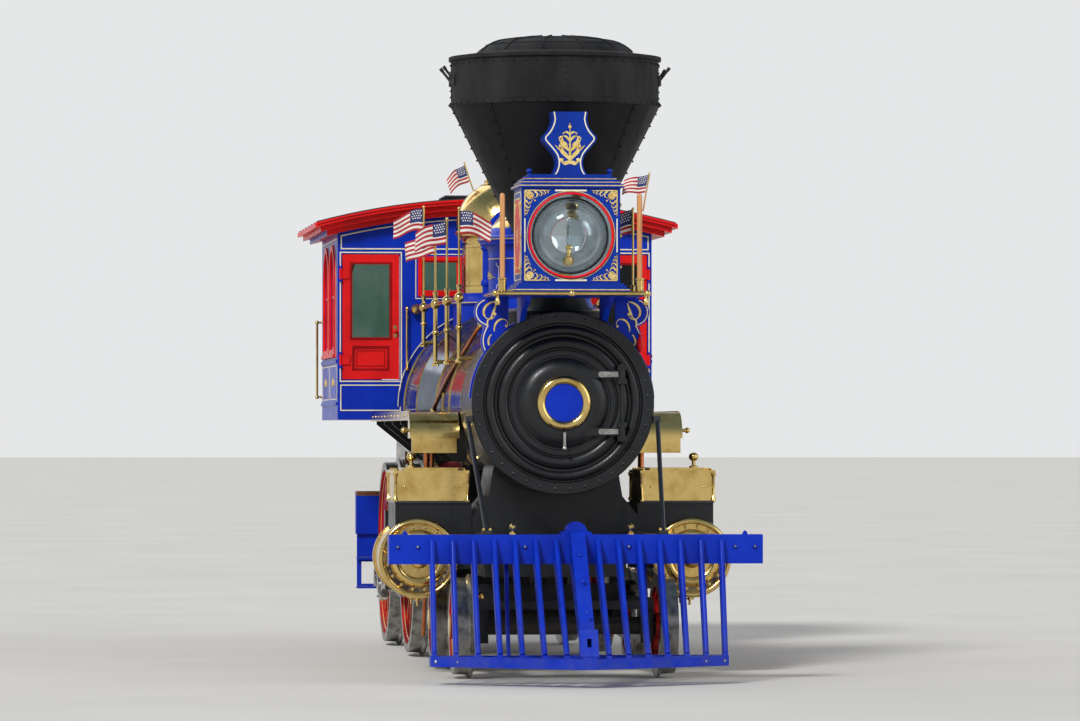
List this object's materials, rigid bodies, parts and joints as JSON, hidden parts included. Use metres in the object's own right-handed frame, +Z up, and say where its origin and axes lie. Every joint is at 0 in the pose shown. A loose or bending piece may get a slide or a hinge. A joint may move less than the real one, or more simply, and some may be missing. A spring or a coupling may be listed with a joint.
{
  "type": "4-4-0 steam locomotive",
  "caption": "Wood-burning steam locomotive with funnel stack, square headlamp, pilot, dressed boiler and wooden cab; its wheels, rods, truck, bell and doors move.",
  "frame": {"origin": "on the ground plane under the middle of the length, where the wheel flanges stand", "axes": "+X towards the front, +Y to the locomotive's left, +Z up"},
  "size_m": [9.65, 3, 4.7519],
  "materials": {
    "blue_paint": "gloss",
    "red_paint": "gloss",
    "black_paint": "satin",
    "dark_iron": "satin",
    "polished_jacket": "polished",
    "bright_steel": "polished",
    "brass": "polished",
    "clear_glass": "clear",
    "varnished_wood": "varnished",
    "flag_cloth": "matte"
  },
  "bodies": {
    "locomotive": {"backhead_fittings": "brass", "bell_stand": "blue_paint", "board_noses": "brass", "boiler": "polished_jacket", "boiler_bands": "brass", "bumper_beam": "blue_paint", "cab_floor": "varnished_wood", "cab_front": "blue_paint", "cab_glass": "clear_glass", "cab_rear": "blue_paint", "cab_roof": "red_paint", "cab_seats": "varnished_wood", "cab_sides": "blue_paint", "cylinder_covers": "brass", "cylinders": "black_paint", "drawbar": "dark_iron", "feed_pipes": "brass", "flags": "flag_cloth", "flagstaffs": "varnished_wood", "frame_left": "black_paint", "frame_right": "black_paint", "frame_ties": "black_paint", "guide_bars": "bright_steel", "guide_yoke": "black_paint", "handrails": "brass", "headlamp_case": "blue_paint", "headlamp_glass": "clear_glass", "headlamp_platform": "blue_paint", "pilot": "blue_paint", "rear_beam": "blue_paint", "running_boards": "blue_paint", "saddle": "black_paint", "sand_dome": "blue_paint", "smokebox": "black_paint", "smokebox_braces": "black_paint", "smokebox_front": "black_paint", "springs": "dark_iron", "stack": "black_paint", "steam_chests": "brass", "steam_dome": "brass", "valve_rods": "bright_steel", "whistle": "brass"},
    "truck": {"truck_frame": "black_paint"},
    "truck_front_wheels": {"truck_wheels_front": "red_paint"},
    "truck_rear_wheels": {"truck_wheels_rear": "red_paint"},
    "front_drivers": {"driver_wheels_front": "red_paint"},
    "rear_drivers": {"driver_wheels_rear": "red_paint"},
    "left_coupling_rod": {"coupling_rod_left": "bright_steel"},
    "right_coupling_rod": {"coupling_rod_right": "bright_steel"},
    "left_crosshead": {"crosshead_left": "bright_steel"},
    "right_crosshead": {"crosshead_right": "bright_steel"},
    "left_main_rod": {"main_rod_left": "bright_steel"},
    "right_main_rod": {"main_rod_right": "bright_steel"},
    "bell_body": {"bell": "brass"},
    "smokebox_door_body": {"smokebox_door": "black_paint", "number_plate": "brass"},
    "left_cab_door": {"cab_door_left": "red_paint"},
    "right_cab_door": {"cab_door_right": "red_paint"},
    "fire_door_body": {"fire_door": "dark_iron"}
  },
  "joints": [
    {"name": "truck_swivel", "type": "hinge", "parent": "locomotive", "child": "truck", "pos_m": [2.075, 0, 0.728], "axis": [0, 0, 1], "range_deg": [-4, 4]},
    {"name": "truck_axle_front", "type": "hinge", "parent": "truck", "child": "truck_front_wheels", "pos_m": [2.99, 0, 0.383], "axis": [0, 1, 0], "continuous": true},
    {"name": "truck_axle_rear", "type": "hinge", "parent": "truck", "child": "truck_rear_wheels", "pos_m": [1.16, 0, 0.383], "axis": [0, 1, 0], "continuous": true},
    {"name": "driver_axle_front", "type": "hinge", "parent": "locomotive", "child": "front_drivers", "pos_m": [-1.275, 0, 0.79], "axis": [0, 1, 0], "continuous": true},
    {"name": "driver_axle_rear", "type": "hinge", "parent": "locomotive", "child": "rear_drivers", "pos_m": [-3.715, 0, 0.79], "axis": [0, 1, 0], "continuous": true},
    {"name": "coupling_rod_pin_left", "type": "hinge", "parent": "front_drivers", "child": "left_coupling_rod", "pos_m": [-1.49067, 0.872, 0.57433], "axis": [0, 1, 0], "continuous": true},
    {"name": "coupling_rod_pin_right", "type": "hinge", "parent": "front_drivers", "child": "right_coupling_rod", "pos_m": [-1.05933, -0.872, 0.57433], "axis": [0, 1, 0], "continuous": true},
    {"name": "crosshead_slide_left", "type": "slide", "parent": "locomotive", "child": "left_crosshead", "axis": [1, 0, 0], "range_m": [-0.0726, 0.5378]},
    {"name": "main_rod_pin_left", "type": "hinge", "parent": "left_crosshead", "child": "left_main_rod", "pos_m": [0.86611, 1.02, 0.868], "axis": [0, 1, 0], "range_deg": [-2.18, 12.59]},
    {"name": "crosshead_slide_right", "type": "slide", "parent": "locomotive", "child": "right_crosshead", "axis": [1, 0, 0], "range_m": [-0.5039, 0.1064]},
    {"name": "main_rod_pin_right", "type": "hinge", "parent": "right_crosshead", "child": "right_main_rod", "pos_m": [1.29744, -1.02, 0.868], "axis": [0, 1, 0], "range_deg": [-2.18, 12.59]},
    {"name": "bell_swing", "type": "hinge", "parent": "locomotive", "child": "bell_body", "pos_m": [-0.025, 0, 3.268], "axis": [0, 1, 0], "range_deg": [-60, 60]},
    {"name": "smokebox_door_hinge", "type": "hinge", "parent": "locomotive", "child": "smokebox_door_body", "pos_m": [3.055, 0.43, 2.018], "axis": [0, 0, 1], "range_deg": [0, 110]},
    {"name": "cab_door_hinge_left", "type": "hinge", "parent": "locomotive", "child": "left_cab_door", "pos_m": [-2.313, 1.28, 2.758], "axis": [0, 0, 1], "range_deg": [0, 85]},
    {"name": "cab_door_hinge_right", "type": "hinge", "parent": "locomotive", "child": "right_cab_door", "pos_m": [-2.313, -1.28, 2.758], "axis": [0, 0, -1], "range_deg": [0, 85]},
    {"name": "fire_door_hinge", "type": "hinge", "parent": "locomotive", "child": "fire_door_body", "pos_m": [-3.373, -0.214, 1.648], "axis": [0, 0, 1], "range_deg": [0, 100]}
  ],
  "couplings": [
    {"joint": "driver_axle_rear", "follows": "driver_axle_front", "ratio": 1},
    {"joint": "coupling_rod_pin_left", "follows": "driver_axle_front", "ratio": -1},
    {"joint": "coupling_rod_pin_right", "follows": "driver_axle_front", "ratio": -1}
  ]
}
